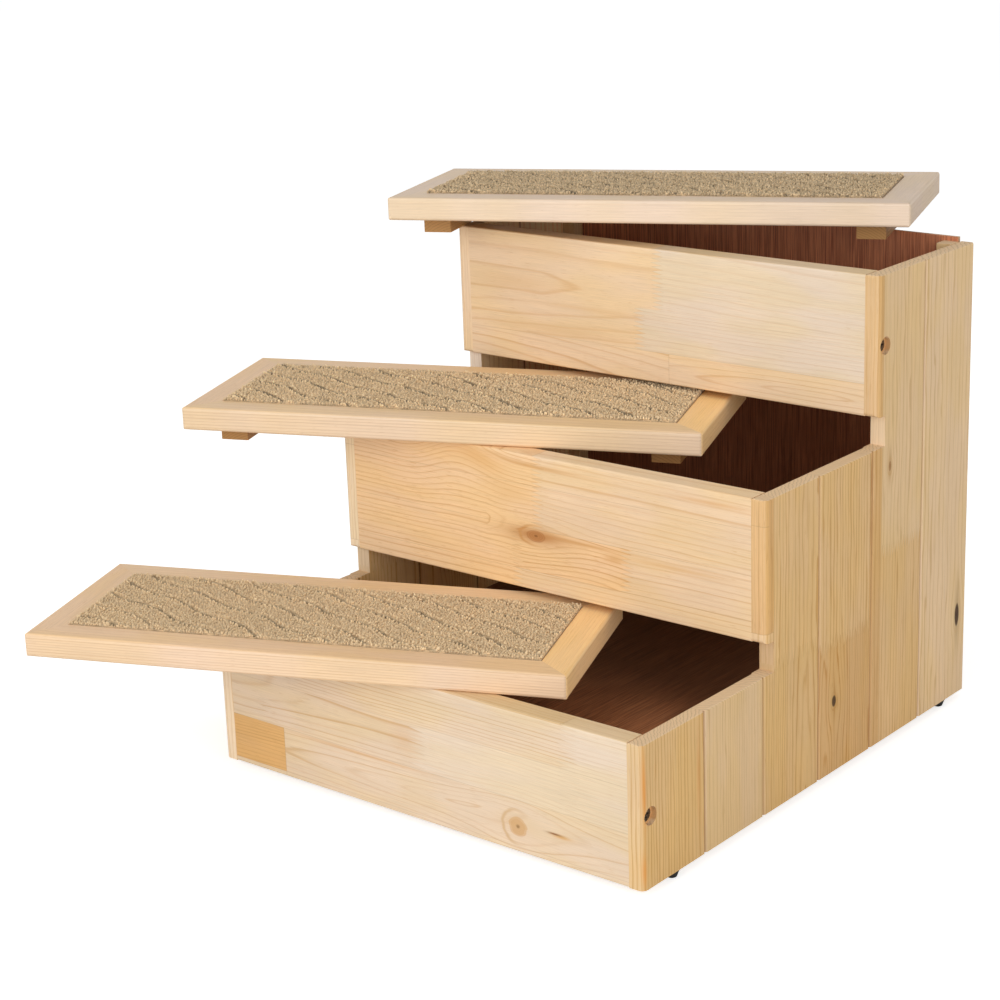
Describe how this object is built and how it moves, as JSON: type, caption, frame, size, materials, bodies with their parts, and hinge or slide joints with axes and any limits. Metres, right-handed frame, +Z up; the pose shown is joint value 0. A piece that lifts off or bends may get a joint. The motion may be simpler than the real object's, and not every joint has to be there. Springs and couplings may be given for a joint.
{
  "type": "pet stairs",
  "caption": "Boxed wooden pet stairs with storage under loose carpeted lids, which lie swung aside on the steps.",
  "frame": {"origin": "on the floor, under the feet, at the middle of the area that the stairs and their lids cover as they lie", "axes": "+Z up; -Y towards the front, where the animal steps on; +X to the right seen from the front"},
  "size_m": [0.5324, 0.6417, 0.4026],
  "materials": {
    "side_pine": "lacquered knotty pine, upright grain",
    "riser_pine": "lacquered finger-jointed pine, level grain",
    "rail_pine": "lacquered pale pine",
    "batten_pine": "plain planed pine",
    "cleat_wood": "plain planed softwood",
    "back_ply": "dark red-brown faced plywood",
    "floor_ply": "reddish brown plywood",
    "dowel_beech": "plain dowel",
    "carpet": "tan loop pile carpet",
    "black_rubber": "matt black rubber",
    "dark_screw": "dark phosphated steel"
  },
  "bodies": {
    "carcass": {"right_side_board_1": "side_pine", "right_side_board_2": "side_pine", "right_side_board_3": "side_pine", "right_side_board_4": "side_pine", "right_side_board_5": "side_pine", "right_side_board_6": "side_pine", "left_side_board_1": "side_pine", "left_side_board_2": "side_pine", "left_side_board_3": "side_pine", "left_side_board_4": "side_pine", "left_side_board_5": "side_pine", "left_side_board_6": "side_pine", "riser_1": "riser_pine", "riser_2": "riser_pine", "riser_3": "riser_pine", "back_panel": "back_ply", "floor_panel": "floor_ply", "right_corner_batten": "batten_pine", "left_corner_batten": "batten_pine", "right_floor_batten": "batten_pine", "left_floor_batten": "batten_pine", "front_floor_batten": "batten_pine", "back_floor_batten": "batten_pine", "side_screws": "dark_screw", "riser_dowels": "dowel_beech", "front_right_foot": "black_rubber", "front_left_foot": "black_rubber", "back_right_foot": "black_rubber", "back_left_foot": "black_rubber"},
    "lid_1": {"lid_1_front_rail": "rail_pine", "lid_1_rear_rail": "rail_pine", "lid_1_right_rail": "rail_pine", "lid_1_left_rail": "rail_pine", "lid_1_base_panel": "floor_ply", "lid_1_carpet": "carpet", "lid_1_right_cleat": "cleat_wood", "lid_1_left_cleat": "cleat_wood", "lid_1_cleat_screws": "dark_screw"},
    "lid_2": {"lid_2_front_rail": "rail_pine", "lid_2_rear_rail": "rail_pine", "lid_2_right_rail": "rail_pine", "lid_2_left_rail": "rail_pine", "lid_2_base_panel": "floor_ply", "lid_2_carpet": "carpet", "lid_2_right_cleat": "cleat_wood", "lid_2_left_cleat": "cleat_wood", "lid_2_cleat_screws": "dark_screw"},
    "lid_3": {"lid_3_front_rail": "rail_pine", "lid_3_rear_rail": "rail_pine", "lid_3_right_rail": "rail_pine", "lid_3_left_rail": "rail_pine", "lid_3_base_panel": "floor_ply", "lid_3_carpet": "carpet", "lid_3_right_cleat": "cleat_wood", "lid_3_left_cleat": "cleat_wood", "lid_3_cleat_screws": "dark_screw"}
  },
  "joints": [
    {"name": "lid_1_swing", "type": "hinge", "parent": "carcass", "child": "lid_1", "pos_m": [0.11912, -0.10441, 0.11], "axis": [0, 0, 1], "range_deg": [-16, 10]},
    {"name": "lid_2_swing", "type": "hinge", "parent": "carcass", "child": "lid_2", "pos_m": [0.11168, 0.07131, 0.237], "axis": [0, 0, 1], "range_deg": [-8, 20]},
    {"name": "lid_3_lift", "type": "slide", "parent": "carcass", "child": "lid_3", "axis": [0, 0, 1], "range_m": [0, 0.12]}
  ]
}
